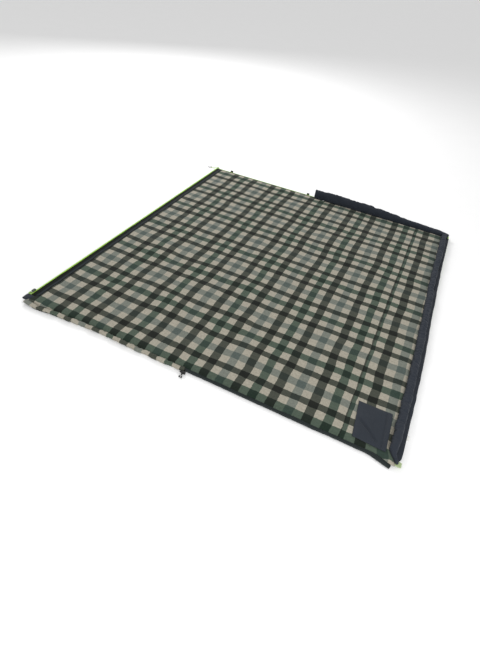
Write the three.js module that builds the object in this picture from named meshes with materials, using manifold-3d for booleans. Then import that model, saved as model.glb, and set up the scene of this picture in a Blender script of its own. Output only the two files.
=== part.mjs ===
// A rectangular sleeping bag, unzipped all round and laid open flat as a quilt, lining side up.
// Millimetres, +Z up. X runs along the head edge and Y from the head edge to the foot edge.
// The base half is on the right of the fold line and the cover half on its left.
import * as THREE from 'three';
import { mergeVertices } from 'three/addons/utils/BufferGeometryUtils.js';
import Module from 'manifold-3d';

const wasm = await Module();
wasm.setup();

// Driving dimensions
const HALF_WIDTH = 1050; // fold line to the outer edge of the zip
const HALF_LENGTH = 1175; // middle of the bag to the head or foot edge
const LOFT = 28; // thickness of one padded half
const FOLD_GAP = 3; // between the two halves along the fold line
const CLEAR = 0.3; // between pieces that touch

const SHELL_THICK = 1.5;
const SEAM_LEVEL = 14; // height of the seam that joins shell, lining and zip tape
const SHELL_TUCK = 14; // how far the shell's side slopes in on its way to the floor
const LINING_SLOPE = 40; // width of the lining's slope down to the seam

const COIL_WIDTH = 6;
const COIL_HEIGHT = 3.2;
const TAPE_WIDTH = 22;
const TAPE_THICK = 1.2;
const ZIP_LEVEL = SEAM_LEVEL + 0.5; // middle height of coil and tape
const PAD_EDGE = HALF_WIDTH - COIL_WIDTH - TAPE_WIDTH; // outer side seam of the padding
const PAD_FOOT = HALF_LENGTH - COIL_WIDTH - TAPE_WIDTH; // foot seam of the padding

const CHANNEL_WIDTH = 24; // drawcord channel along the head edge of the base
const CHANNEL_START = -12;
const FACING_WIDTH = 40; // turned-over facing along the head edge of the cover
const PANEL_SEAM = 792; // seam between the main lining and its side panel
const TUBE_END = -84; // where the foot draft tube ends, on the cover side of the fold
const CORD_RADIUS = 1.5;
const CORD_EXIT = new THREE.Vector3(-3, -HALF_LENGTH, 9);
const CORD_SPREAD = 1.8; // half the distance between the two strands of the doubled drawcord

// The whole bag is moved by this much, so that its box is centred on the origin.
const CENTRING = new THREE.Vector3(33, 2, 0);

const COLOURS = {
  shell: { color: 0x363b42, roughness: 0.8, metalness: 0 },
  lining: { color: 0x7d8075, roughness: 0.95, metalness: 0 },
  filling: { color: 0xe8e8e4, roughness: 1, metalness: 0 },
  tube: { color: 0x3a3f46, roughness: 0.8, metalness: 0 },
  tape: { color: 0x16210f, roughness: 0.9, metalness: 0 },
  lime: { color: 0xa6d935, roughness: 0.5, metalness: 0 },
  black: { color: 0x0c0d0e, roughness: 0.45, metalness: 0 },
  green: { color: 0x1d3a14, roughness: 0.6, metalness: 0 },
  steel: { color: 0xb9bcc0, roughness: 0.3, metalness: 1 },
  label: { color: 0xeeeeea, roughness: 0.8, metalness: 0 },
};

const group = new THREE.Group();
group.position.copy(CENTRING);

function add(name, geometry, colour) {
  const mesh = new THREE.Mesh(geometry, new THREE.MeshStandardMaterial(COLOURS[colour]));
  mesh.name = name;
  group.add(mesh);
}

// ---------------------------------------------------------------- solids and booleans

function solid(geometry) {
  const bare = geometry.clone();
  bare.deleteAttribute('normal');
  bare.deleteAttribute('uv');
  const merged = mergeVertices(bare, 1e-4);
  return new wasm.Manifold(new wasm.Mesh({
    numProp: 3,
    vertProperties: new Float32Array(merged.attributes.position.array),
    triVerts: new Uint32Array(merged.index.array),
  }));
}

function geometryOf(manifold) {
  const mesh = manifold.getMesh();
  const geometry = new THREE.BufferGeometry();
  geometry.setAttribute('position', new THREE.BufferAttribute(mesh.vertProperties, 3));
  geometry.setIndex(new THREE.BufferAttribute(mesh.triVerts, 1));
  return geometry;
}

function join(...geometries) {
  return geometryOf(geometries.map(solid).reduce((all, next) => all.add(next)));
}

function cut(geometry, ...tools) {
  return geometryOf(tools.map(solid).reduce((left, tool) => left.subtract(tool), solid(geometry)));
}

function box([x0, x1], [y0, y1], [z0, z1]) {
  const geometry = new THREE.BoxGeometry(x1 - x0, y1 - y0, z1 - z0);
  return geometry.translate((x0 + x1) / 2, (y0 + y1) / 2, (z0 + z1) / 2);
}

function shapeOf(outline, hole) {
  const points = outline.map(([a, b]) => new THREE.Vector2(a, b));
  if (THREE.ShapeUtils.isClockWise(points)) points.reverse();
  const shape = new THREE.Shape(points);
  if (hole) shape.holes.push(new THREE.Path(hole.map(([a, b]) => new THREE.Vector2(a, b))));
  return shape;
}

// A section drawn in Y and Z, drawn out along X.
function alongX(outline, [x0, x1], hole, steps = 1) {
  const drawn = { depth: x1 - x0, bevelEnabled: false, steps };
  const geometry = new THREE.ExtrudeGeometry(shapeOf(outline, hole), drawn);
  const turn = new THREE.Matrix4().makeBasis(
    new THREE.Vector3(0, 1, 0), new THREE.Vector3(0, 0, 1), new THREE.Vector3(1, 0, 0));
  return geometry.applyMatrix4(turn).translate(x0, 0, 0);
}

// A section drawn in X and Z, drawn out along Y.
function alongY(outline, [y0, y1], hole, steps = 1) {
  const drawn = { depth: y1 - y0, bevelEnabled: false, steps };
  const geometry = new THREE.ExtrudeGeometry(shapeOf(outline, hole), drawn);
  return geometry.rotateX(Math.PI / 2).translate(0, y1, 0);
}

// The value at one place in a row of [place, value] pairs, straight between them.
function valueAt(row, at) {
  const next = row.findIndex(([place]) => place >= at);
  if (next < 0) return row[row.length - 1][1];
  if (next === 0) return row[0][1];
  const [[place0, value0], [place1, value1]] = [row[next - 1], row[next]];
  return value0 + ((value1 - value0) * (at - place0)) / (place1 - place0);
}

// The same body with every point handed to move, which changes it.
function reshape(geometry, move) {
  const position = geometry.attributes.position;
  const point = new THREE.Vector3();
  for (let i = 0; i < position.count; i += 1) {
    move(point.fromBufferAttribute(position, i));
    position.setXYZ(i, point.x, point.y, point.z);
  }
  return geometry;
}

function oval(centre, halfWidth, halfHeight, sides) {
  return Array.from({ length: sides }, (_, i) => {
    const angle = (2 * Math.PI * (i + 0.5)) / sides;
    return [centre[0] + halfWidth * Math.cos(angle), centre[1] + halfHeight * Math.sin(angle)];
  });
}

// A closed body through a row of rectangles, each {x, y, z} with x and y as [low, high].
function rectangleLoft(rectangles) {
  const positions = [];
  const index = [];
  rectangles.forEach(({ x, y, z }, ring) => {
    positions.push(x[0], y[0], z, x[1], y[0], z, x[1], y[1], z, x[0], y[1], z);
    if (ring === 0) return;
    for (let side = 0; side < 4; side += 1) {
      const next = (side + 1) % 4;
      const [a, b, c, d] = [4 * ring - 4 + side, 4 * ring - 4 + next, 4 * ring + next, 4 * ring + side];
      index.push(a, b, c, a, c, d);
    }
  });
  const last = 4 * (rectangles.length - 1);
  index.push(0, 2, 1, 0, 3, 2, last, last + 1, last + 2, last, last + 2, last + 3);
  const geometry = new THREE.BufferGeometry();
  geometry.setAttribute('position', new THREE.Float32BufferAttribute(positions, 3));
  geometry.setIndex(index);
  return geometry;
}

// ---------------------------------------------------------------- padded halves

// outline is {x, y, slopes}: slopes says which of left, right, head and foot slope to a seam.
function inset({ x, y, slopes }, distance, z) {
  const by = (side) => (slopes[side] ? distance : 0);
  return { x: [x[0] + by('left'), x[1] - by('right')], y: [y[0] + by('head'), y[1] - by('foot')], z };
}

function shrink({ x, y, z }, wall) {
  return { x: [x[0] + wall, x[1] - wall], y: [y[0] + wall, y[1] - wall], z };
}

function shell(outline) {
  return rectangleLoft([
    shrink(inset(outline, SHELL_TUCK, SHELL_THICK), SHELL_THICK),
    shrink(inset(outline, 0, SEAM_LEVEL), SHELL_THICK),
    inset(outline, 0, SEAM_LEVEL),
    inset(outline, SHELL_TUCK, 0),
  ].reverse());
}

function lining(outline) {
  const rim = SEAM_LEVEL + 2 * CLEAR;
  return rectangleLoft([
    shrink(inset(outline, LINING_SLOPE, LOFT - SHELL_THICK), SHELL_THICK),
    shrink(inset(outline, 0, rim), SHELL_THICK),
    inset(outline, 0, rim),
    inset(outline, LINING_SLOPE, LOFT),
  ]);
}

function insulation(outline) {
  const wall = SHELL_THICK + 2 * CLEAR;
  return rectangleLoft([
    shrink(inset(outline, SHELL_TUCK, SHELL_THICK + CLEAR), wall),
    shrink(inset(outline, 0, SEAM_LEVEL + CLEAR / 2), wall),
    shrink(inset(outline, LINING_SLOPE, LOFT - SHELL_THICK - CLEAR), wall),
  ]);
}

const baseOutline = {
  x: [FOLD_GAP / 2, PAD_EDGE],
  y: [-HALF_LENGTH + CHANNEL_WIDTH + CLEAR, PAD_FOOT],
  slopes: { right: true, head: true, foot: true },
};
const coverOutline = {
  x: [-PAD_EDGE, -FOLD_GAP / 2],
  y: [-HALF_LENGTH + FACING_WIDTH + CLEAR, PAD_FOOT],
  slopes: { left: true, head: true, foot: true },
};
const wholeBag = HALF_WIDTH + HALF_LENGTH;
const rightOfSeam = box([PANEL_SEAM, wholeBag], [-wholeBag, wholeBag], [-LOFT, 2 * LOFT]);
const leftOfSeam = box([-wholeBag, PANEL_SEAM + CLEAR], [-wholeBag, wholeBag], [-LOFT, 2 * LOFT]);

add('base_shell', shell(baseOutline), 'shell');
add('base_insulation', insulation(baseOutline), 'filling');
add('base_lining', cut(lining(baseOutline), rightOfSeam), 'lining');
add('base_lining_side_panel', cut(lining(baseOutline), leftOfSeam), 'lining');
add('cover_shell', shell(coverOutline), 'shell');
add('cover_insulation', insulation(coverOutline), 'filling');
add('cover_lining', lining(coverOutline), 'lining');

// ---------------------------------------------------------------- head edge

// A body along X from a convex outline in Y and Z. bows is a row of [x, bow]: there the outline's head side
// stands out by that much, and the side next to the padding, width away, stays where it is.
function bowedAlongX(outline, bows, width) {
  const inner = -HALF_LENGTH + width;
  const points = shapeOf(outline).getPoints();
  const sides = points.length;
  const positions = [];
  const index = [];
  bows.forEach(([x, bow], ring) => {
    points.forEach(({ x: y, y: z }) => positions.push(x, inner - (inner - y) * (1 + bow / width), z));
    if (ring === 0) return;
    for (let side = 0; side < sides; side += 1) {
      const next = (side + 1) % sides;
      const before = sides * (ring - 1);
      const [a, b, c, d] = [before + side, before + next, before + sides + next, before + sides + side];
      index.push(a, b, c, a, c, d);
    }
  });
  const last = sides * (bows.length - 1);
  for (let side = 1; side < sides - 1; side += 1) {
    index.push(0, side + 1, side, last, last + side, last + side + 1);
  }
  const geometry = new THREE.BufferGeometry();
  geometry.setAttribute('position', new THREE.Float32BufferAttribute(positions, 3));
  geometry.setIndex(index);
  return geometry;
}

const facingMiddle = [-HALF_LENGTH + FACING_WIDTH / 2, 14];
const facingBows = [
  [-PAD_EDGE, 30], [-935, 36], [-836, 26], [-731, 18], [-630, 11], [-530, 6], [-420, 8],
  [-320, 11], [-200, 10], [-100, 10], [CHANNEL_START - 2, 6],
];
add('head_facing',
  bowedAlongX(oval(facingMiddle, FACING_WIDTH / 2, 12, 12), facingBows, FACING_WIDTH), 'lining');

const channelMiddle = [-HALF_LENGTH + CHANNEL_WIDTH / 2, CORD_EXIT.z];
const channelBows = [[915, 0], [945, 4], [975, 13], [1005, 22]];
const channelBody = (outline, grow) => bowedAlongX(outline, [
  [CHANNEL_START - grow, 0], ...channelBows, [PAD_EDGE + 12 + grow, 27],
], CHANNEL_WIDTH);
const channelTube = cut(
  channelBody(oval(channelMiddle, CHANNEL_WIDTH / 2, 8.6, 12), 0),
  channelBody(oval(channelMiddle, 7.5, 3.4, 8), 1));
const exitHole = new THREE.CylinderGeometry(5.4, 5.4, 20, 16);
exitHole.translate(CORD_EXIT.x, CORD_EXIT.y + 3, CORD_EXIT.z);
const exitFlat = box([CORD_EXIT.x - 8, CORD_EXIT.x + 8], [-HALF_LENGTH - 1, -HALF_LENGTH + 1.5], [0, 20]);
add('head_channel', cut(channelTube, exitHole, exitFlat), 'shell');

const eyeletProfile = [[3.8, 0], [7, 0], [7, 1.2], [5, 1.2], [5, 6.5], [3.8, 6.5], [3.8, 0]];
const eyelet = new THREE.LatheGeometry(eyeletProfile.map(([r, y]) => new THREE.Vector2(r, y - 0.1)), 24);
add('drawcord_eyelet', eyelet.translate(CORD_EXIT.x, CORD_EXIT.y, CORD_EXIT.z), 'black');

// The doubled drawcord runs in the channel to its far end, turns round there and comes back.
function cordTube(points, steps) {
  const path = new THREE.CatmullRomCurve3(points, false, 'centripetal');
  const section = shapeOf(oval([0, 0], CORD_RADIUS, CORD_RADIUS, 8));
  return new THREE.ExtrudeGeometry(section, { steps, extrudePath: path, bevelEnabled: false });
}

const CORD_RUN_HALF = 4; // half the distance between the cord's two runs in the channel
const cordRun = {
  near: channelMiddle[0] - CORD_RUN_HALF,
  far: channelMiddle[0] + CORD_RUN_HALF,
  start: CORD_EXIT.x + 9,
  end: 900,
};
function cordBend(y, turn) {
  return new THREE.Vector3(cordRun.end + CORD_RUN_HALF * Math.sin(turn), y, CORD_EXIT.z);
}
add('drawcord', cordTube([
  new THREE.Vector3(cordRun.start, cordRun.near, CORD_EXIT.z),
  new THREE.Vector3(cordRun.end / 2, cordRun.near, CORD_EXIT.z),
  new THREE.Vector3(cordRun.end - 10, cordRun.near, CORD_EXIT.z),
  cordBend(cordRun.near + 1.2, Math.PI / 4),
  cordBend(channelMiddle[0], Math.PI / 2),
  cordBend(cordRun.far - 1.2, Math.PI / 4),
  new THREE.Vector3(cordRun.end - 10, cordRun.far, CORD_EXIT.z),
  new THREE.Vector3(cordRun.end / 2, cordRun.far, CORD_EXIT.z),
  new THREE.Vector3(cordRun.start, cordRun.far, CORD_EXIT.z),
], 80), 'black');

const TAIL_START = 1.5; // inside the eyelet
const TAIL_STRAIGHT = 26; // from the eyelet through the cord lock
const TAIL_END = 36;
const TAIL_SPLAY = 5;
[['upper', 1, -1], ['lower', -1, 1]].forEach(([name, rise, aside]) => {
  const z = CORD_EXIT.z + rise * CORD_SPREAD;
  const x = CORD_EXIT.x;
  const end = new THREE.Vector3(x + aside * TAIL_SPLAY, CORD_EXIT.y - TAIL_END, 5);
  add(`drawcord_tail_${name}`, cordTube([
    new THREE.Vector3(x, CORD_EXIT.y + TAIL_START, z),
    new THREE.Vector3(x, CORD_EXIT.y - TAIL_STRAIGHT / 2, z),
    new THREE.Vector3(x, CORD_EXIT.y - TAIL_STRAIGHT, z),
    new THREE.Vector3((x + end.x) / 2, CORD_EXIT.y - (TAIL_STRAIGHT + TAIL_END) / 2, (z + end.z) / 2),
    end,
  ], 14), 'black');
  const bead = [[0, 0], [2.6, 0], [4, 2.4], [4, 6.4], [2.6, 9], [0, 9]];
  const knot = new THREE.LatheGeometry(bead.map(([r, y]) => new THREE.Vector2(r, y)), 12);
  knot.translate(end.x + aside * 0.6, end.y - 9 - 4 * CLEAR, end.z);
  add(`cord_end_${name}`, knot, 'black');
});

// ---------------------------------------------------------------- cord lock

const LOCK_Y = CORD_EXIT.y - 14;
const LOCK_RADIUS = 8;
const BUTTON_TRAVEL = 4;
const lockX = (offset) => CORD_EXIT.x + offset;

const LOCK_SIDES = 20;

// A turned part whose axis is X, from a profile of [distance along X, radius] that starts at its +X end.
function barrelPart(outline) {
  const profile = outline.map(([along, radius]) => new THREE.Vector2(radius, along)).reverse();
  const turned = new THREE.LatheGeometry(profile, LOCK_SIDES).rotateZ(-Math.PI / 2);
  return turned.translate(CORD_EXIT.x, LOCK_Y, CORD_EXIT.z);
}

const slotHeight = [CORD_EXIT.z - CORD_SPREAD - 1.8, CORD_EXIT.z + CORD_SPREAD + 1.8];
const slotThrough = [LOCK_Y - 12, LOCK_Y + 12];
add('cord_lock_barrel', cut(
  barrelPart([
    [11, 0], [11, 6.6], [9.6, LOCK_RADIUS], [-7, LOCK_RADIUS], [-9, 7], [-9, 5.5], [9, 5.5], [9, 0],
  ]),
  box([lockX(-1.7), lockX(1.7)], slotThrough, slotHeight)), 'black');
add('cord_lock_button', cut(
  barrelPart([[3.4, 0], [3.4, 5.2], [-13.4, 5.2], [-13.4, 6.2], [-15, 6.2], [-16, 5], [-16, 0]]),
  box([lockX(-1.7 - BUTTON_TRAVEL), lockX(1.7)], slotThrough, slotHeight)), 'black');

class Helix extends THREE.Curve {
  constructor(radius, start, length, turns) {
    super();
    Object.assign(this, { radius, start, length, turns });
  }

  getPoint(t, target = new THREE.Vector3()) {
    const angle = 2 * Math.PI * this.turns * t;
    return target.set(this.start + this.length * t,
      LOCK_Y + this.radius * Math.cos(angle), CORD_EXIT.z + this.radius * Math.sin(angle));
  }
}
const springSection = shapeOf(oval([0, 0], 0.35, 0.35, 6));
add('cord_lock_spring', new THREE.ExtrudeGeometry(springSection, {
  steps: 60, extrudePath: new Helix(3.4, lockX(4.1), 4.5, 3.5), bevelEnabled: false,
}), 'steel');

// ---------------------------------------------------------------- zip on both halves

const tapeHeight = [ZIP_LEVEL - TAPE_THICK / 2, ZIP_LEVEL + TAPE_THICK / 2];
const tapeReach = [PAD_EDGE + CLEAR, HALF_WIDTH - COIL_WIDTH - CLEAR]; // from the middle, sideways
const footTapeReach = [PAD_FOOT + CLEAR, HALF_LENGTH - COIL_WIDTH - CLEAR];
const COIL_TOP_END = -HALF_LENGTH + 38; // cover side zip, past the garage and the top stop
const BASE_ZIP_START = -HALF_LENGTH + 26;
const RETAINER = [4, 12]; // box and pin at the fold end of the foot zip

function coilSection(middle) {
  return oval(middle, COIL_WIDTH / 2 / Math.cos(Math.PI / 8), COIL_HEIGHT / 2 / Math.cos(Math.PI / 8), 8);
}

function mirrored([low, high], side) {
  return side > 0 ? [low, high] : [-high, -low];
}

[['base', 1, BASE_ZIP_START], ['cover', -1, COIL_TOP_END]].forEach(([half, side, start]) => {
  add(`zip_tape_side_${half}`, box(mirrored(tapeReach, side), [start - 1, PAD_FOOT], tapeHeight), 'tape');
  add(`zip_tape_foot_${half}`,
    box(mirrored([RETAINER[0], tapeReach[1]], side), footTapeReach, tapeHeight), 'tape');
  add(`zip_coil_side_${half}`,
    alongY(coilSection([side * (HALF_WIDTH - COIL_WIDTH / 2), ZIP_LEVEL]), [start, HALF_LENGTH]), 'lime');
  add(`zip_coil_foot_${half}`, alongX(coilSection([HALF_LENGTH - COIL_WIDTH / 2, ZIP_LEVEL]),
    mirrored([RETAINER[1] + CLEAR, tapeReach[1]], side)), 'lime');
});

const retainerY = [HALF_LENGTH - COIL_WIDTH + CLEAR, HALF_LENGTH + 1];
add('zip_retainer_box', box(mirrored(RETAINER, -1), retainerY, [ZIP_LEVEL - 3, ZIP_LEVEL + 3]), 'lime');
add('zip_retainer_pin', box(RETAINER, retainerY, [ZIP_LEVEL - 1.6, ZIP_LEVEL + 1.6]), 'lime');

const stopX = [-HALF_WIDTH, -HALF_WIDTH + COIL_WIDTH];
add('zip_top_stop',
  box(stopX, [COIL_TOP_END - 2.8, COIL_TOP_END - CLEAR], [ZIP_LEVEL - 2, ZIP_LEVEL + 2]), 'steel');

const garageOutline = [
  [-1062, 14], [-1058, 9], [-1023, 4], [-1022.5, 4], [-1022.5, 22], [-1030, 22], [-1048, 19],
];
add('zip_garage', alongY(garageOutline, [-HALF_LENGTH, COIL_TOP_END - 3.2]), 'shell');

const endTabX = [HALF_WIDTH - 4, HALF_WIDTH + 26];
add('zip_end_tab', alongY(
  [[endTabX[0], 10], [endTabX[1] - 6, 8], [endTabX[1], 11], [endTabX[1] - 5, 14.5], [endTabX[0], 15.5]],
  [-HALF_LENGTH, BASE_ZIP_START - 1 - CLEAR]), 'lime');
const endStopY = [-HALF_LENGTH + 8, -HALF_LENGTH + 14];
add('zip_end_stop', box([HALF_WIDTH - 3, HALF_WIDTH + 3], endStopY, [15.8, 19]), 'black');

const facingEdge = -PAD_EDGE + 1;
const facingRise = (LOFT - SEAM_LEVEL - 2 * CLEAR) / LINING_SLOPE;
const facingZ = (x) => SEAM_LEVEL + 3 * CLEAR + (x + PAD_EDGE) * facingRise;
const facingInner = facingEdge + 39;
add('zip_facing_side', alongY([
  [facingEdge, facingZ(facingEdge)], [facingInner, facingZ(facingInner)],
  [facingInner, facingZ(facingInner) + 1], [facingEdge, facingZ(facingEdge) + 1],
], [coverOutline.y[0] + 1, PAD_FOOT - 1]), 'shell');

// ---------------------------------------------------------------- zip sliders

const SLIDER_HALF_WIDTH = 11;
const SLIDER_HALF_LENGTH = 8;
const SLIDER_LEVELS = { bottom: ZIP_LEVEL - 4.1, top: ZIP_LEVEL + 4.1, plate: 1.4, slot: 1.2 };
const HINGE_Z = SLIDER_LEVELS.top + 1.3;

// Drawn about its own middle: it travels along Y and its coil lies on the +X side.
function sliderParts() {
  const { bottom, top, plate, slot } = SLIDER_LEVELS;
  const lengthwise = [-SLIDER_HALF_LENGTH, SLIDER_HALF_LENGTH];
  const across = [-SLIDER_HALF_WIDTH, SLIDER_HALF_WIDTH];
  const lips = [-1, 1].flatMap((side) => {
    const lip = mirrored([SLIDER_HALF_WIDTH - 1.4, SLIDER_HALF_WIDTH], side);
    return [
      box(lip, lengthwise, [bottom, ZIP_LEVEL - slot]),
      box(lip, lengthwise, [ZIP_LEVEL + slot, top]),
    ];
  });
  return [
    box(across, lengthwise, [bottom, bottom + plate]),
    box(across, lengthwise, [top - plate, top]),
    box([-1.4, 1.2], [1, SLIDER_HALF_LENGTH], [bottom, top]),
    ...lips,
  ];
}

function crown() {
  const { top } = SLIDER_LEVELS;
  return [
    box([-1.2, 1.2], [-6, -4], [top - 0.5, top + 3.6]),
    box([-1.2, 1.2], [4, 6], [top - 0.5, top + 3.6]),
    box([-1.2, 1.2], [-6, 6], [top + 2.4, top + 3.6]),
  ];
}

const OUTER_PIN = { y: -5, z: SLIDER_LEVELS.top + 2.7, x: [-12, -0.6] };
function outerPin() {
  const { top } = SLIDER_LEVELS;
  const lugY = [OUTER_PIN.y - 2, OUTER_PIN.y + 2];
  const lug = (x0) => box([x0, x0 + 1.2], lugY, [top - 1, OUTER_PIN.z + 1.6]);
  const pin = new THREE.CylinderGeometry(0.9, 0.9, OUTER_PIN.x[1] - OUTER_PIN.x[0] - 0.4, 12);
  pin.rotateZ(Math.PI / 2).translate((OUTER_PIN.x[0] + OUTER_PIN.x[1]) / 2, OUTER_PIN.y, OUTER_PIN.z);
  return [lug(OUTER_PIN.x[0]), lug(OUTER_PIN.x[1] - 1.2), pin];
}

const sideSlider = new THREE.Vector3(-HALF_WIDTH - 2, COIL_TOP_END + 12, 0);
add('side_slider_body',
  join(...sliderParts(), ...crown()).translate(sideSlider.x, sideSlider.y, 0), 'lime');

const linkFrame = (grow) => cut(
  box([-5.5 - grow, 5.5 + grow], [-0.7 - grow, 16 + grow], [HINGE_Z - 0.7 - grow, HINGE_Z + 0.7 + grow]),
  box([-4.1 + grow, 4.1 - grow], [0.7 + grow, 14.6 - grow], [HINGE_Z - 3, HINGE_Z + 3]));
add('side_pull_link', linkFrame(0).translate(sideSlider.x, sideSlider.y, 0), 'steel');

const tabOutline = [[-6.5, 11.5], [6.5, 11.5], [9, 16], [9, 34], [7, 38], [-7, 38], [-9, 34], [-9, 16]];
const tab = new THREE.ExtrudeGeometry(shapeOf(tabOutline), { depth: 3.2, bevelEnabled: false });
tab.translate(0, 0, HINGE_Z - 1.6);
add('side_pull_tab', cut(tab, linkFrame(CLEAR)).translate(sideSlider.x, sideSlider.y, 0), 'green');

const footSlider = new THREE.Vector3(-HALF_WIDTH + 15, HALF_LENGTH + 2, 0);
add('foot_slider_body', join(...sliderParts(), ...outerPin())
  .rotateZ(-Math.PI / 2).translate(footSlider.x, footSlider.y, 0), 'lime');

// The foot slider's pull is a strap with an eye at each end, and a wire ring in the lower eye.
const strapTop = [footSlider.x + OUTER_PIN.y, OUTER_PIN.z];
const STRAP_WIDTH = 8;
const STRAP_MIDDLE = footSlider.y + 6.3;
const strapLow = [-HALF_WIDTH - 59, 3.8];
const strapY = [STRAP_MIDDLE - STRAP_WIDTH / 2, STRAP_MIDDLE + STRAP_WIDTH / 2];
function eye(centre, outer, inner) {
  return alongY(oval(centre, outer, outer, 12), strapY, oval(centre, inner, inner, 12));
}
function strap() {
  const run = new THREE.Vector2(strapLow[0] - strapTop[0], strapLow[1] - strapTop[1]).normalize();
  const aside = new THREE.Vector2(-run.y, run.x).multiplyScalar(0.7);
  const from = [strapTop[0] + 1.7 * run.x, strapTop[1] + 1.7 * run.y];
  const to = [strapLow[0] - 2.9 * run.x, strapLow[1] - 2.9 * run.y];
  return alongY([
    [from[0] + aside.x, from[1] + aside.y], [from[0] - aside.x, from[1] - aside.y],
    [to[0] - aside.x, to[1] - aside.y], [to[0] + aside.x, to[1] + aside.y],
  ], strapY);
}
add('foot_pull_strap', join(eye(strapTop, 2.2, 1.25), strap(), eye(strapLow, 3.5, 2.3)), 'lime');

const RING_RADIUS = 15.7;
const RING_WIRE = 1.4;
const ring = new THREE.TorusGeometry(RING_RADIUS, RING_WIRE, 10, 32);
add('foot_pull_ring', ring.translate(strapLow[0] - RING_RADIUS, STRAP_MIDDLE, strapLow[1]), 'steel');

// ---------------------------------------------------------------- loops, pocket and label

const LOOP_WIDTH = 20;
const LOOP_REACH = 31; // past the foot edge
const loopTip = HALF_LENGTH + LOOP_REACH;
// The doubled tape passes under the zip, low enough for the slider, and opens into a loop past it.
const loopOutline = [
  [PAD_FOOT + 2, 13.5], [PAD_FOOT + 9, 13.5], [PAD_FOOT + 17, 10.1], [loopTip - 17.5, 10.1],
  [loopTip - 14, 17.5], [loopTip - 9, 21.5], [loopTip - 3, 19.5], [loopTip, 13.5],
  [loopTip - 2.5, 8], [loopTip - 9, 4.6], [loopTip - 20, 5.2], [PAD_FOOT + 30, 7.2],
  [PAD_FOOT + 17, 7.4], [PAD_FOOT + 9, 10.9], [PAD_FOOT + 2, 10.9],
];
const loopHole = [
  [loopTip - 19, 8.6], [loopTip - 16.4, 9.2], [loopTip - 13, 16.8], [loopTip - 9, 20.1],
  [loopTip - 4.2, 18.4], [loopTip - 1.4, 13.5], [loopTip - 3.6, 9], [loopTip - 9.4, 6],
  [loopTip - 18, 6.6],
];
[['left', -902], ['right', -153]].forEach(([name, x]) => {
  const reach = [x - LOOP_WIDTH / 2, x + LOOP_WIDTH / 2];
  add(`hanging_loop_${name}`, alongX(loopOutline, reach, loopHole), 'tape');
});

const pocket = { x: [826, 988], y: [-1135, -912] };
const pocketZ = [LOFT + CLEAR, LOFT + 7];
const POCKET_WALL = 1.5;
add('pocket', cut(box(pocket.x, pocket.y, pocketZ), box(
  [pocket.x[0] + POCKET_WALL, pocket.x[1] + 5],
  [pocket.y[0] + POCKET_WALL, pocket.y[1] - POCKET_WALL],
  [LOFT - 2, pocketZ[1] - POCKET_WALL],
)), 'shell');

add('care_label', box([PAD_EDGE + 1, HALF_WIDTH + 26], [-1020, -990], [11.2, 12.2]), 'label');

// ---------------------------------------------------------------- draft tubes

// The side tube and its flap bow outwards towards the head, by these [y, distance] pairs.
const sideBows = [
  [-1165, 14], [-1075, 17], [-920, 18], [-750, 20], [-560, 19], [-360, 17], [-240, 14],
  [-120, 10], [0, 7], [145, 5], [290, 1], [450, 0], [620, -3],
];
const SIDE_STEPS = 18;
const bowed = (point) => { point.x += valueAt(sideBows, point.y); };

// The foot tube sags towards the outer corner: [x, share of its full height].
const footRises = [[0, 0.97], [400, 1], [545, 0.8], [713, 0.62], [869, 0.6], [1040, 0.5]];
const FOOT_STEPS = 14;
const FOOT_TUBE_LOW = 16; // the tube's lowest level, which stays
const sagged = (point) => {
  point.z = FOOT_TUBE_LOW + (point.z - FOOT_TUBE_LOW) * valueAt(footRises, point.x);
};

const sideTube = { centre: [1012, 38], halfWidth: 20, halfHeight: 15 };
const sideTubeY = [-1165, 1132];
const footTubeSection = [
  [1144, 20], [1150, FOOT_TUBE_LOW], [1158, 20], [1163, 40], [1164, 70], [1160, 88], [1151, 94],
  [1142, 90], [1137, 74], [1137, 50],
];
const footTubeHeart = [1150.5, 56];
const footTubeX = [FOLD_GAP / 2, 1036];
const TUBE_WALL = { side: 1.2, foot: 2 };
const FILL_GAP = { side: 1.7, foot: 3.2 }; // from the outside of a tube to its batting
const FILL_SHORT = 4; // by which the batting is shorter than its tube, at each end
const towards = (centre, outline, distance) => outline.map(([a, b]) => {
  const away = new THREE.Vector2(a - centre[0], b - centre[1]);
  away.setLength(away.length() - distance);
  return [centre[0] + away.x, centre[1] + away.y];
});
function sideTubeSection(grow) {
  return oval(sideTube.centre, sideTube.halfWidth + grow, sideTube.halfHeight + grow, 14);
}
function shorter([low, high]) {
  return [low + FILL_SHORT, high - FILL_SHORT];
}
add('draft_tube_side', reshape(alongY(
  sideTubeSection(0), sideTubeY, sideTubeSection(-TUBE_WALL.side), SIDE_STEPS), bowed), 'tube');
add('draft_tube_side_fill', reshape(alongY(
  sideTubeSection(-FILL_GAP.side), shorter(sideTubeY), undefined, SIDE_STEPS), bowed), 'filling');
add('draft_tube_foot', reshape(alongX(footTubeSection, footTubeX,
  towards(footTubeHeart, footTubeSection, TUBE_WALL.foot), FOOT_STEPS), sagged), 'tube');
add('draft_tube_foot_fill', reshape(alongX(
  towards(footTubeHeart, footTubeSection, FILL_GAP.foot), shorter(footTubeX), undefined,
  FOOT_STEPS), sagged), 'filling');
add('draft_tube_foot_end',
  reshape(alongX(footTubeSection, [TUBE_END, -FOLD_GAP / 2]), sagged), 'tube');

// A strip of shell fabric that covers the base half's side zip when the bag lies open.
const FLAP_OUTER = 1053;
const flapOutline = [
  [1035, 15.4], [1038, 15.4], [1040, 17.2], [FLAP_OUTER, 16.8], [FLAP_OUTER, 18], [1039.5, 18.4],
  [1035, 17.6],
];
add('zip_flap_side', reshape(
  alongY(flapOutline, [BASE_ZIP_START - 9, sideTubeY[1]], undefined, SIDE_STEPS),
  (point) => { if (point.x > FLAP_OUTER - 1) bowed(point); }), 'shell');

export default group;
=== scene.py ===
import math

import bmesh
import bpy
import numpy as np
from mathutils import Matrix, Vector


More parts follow.
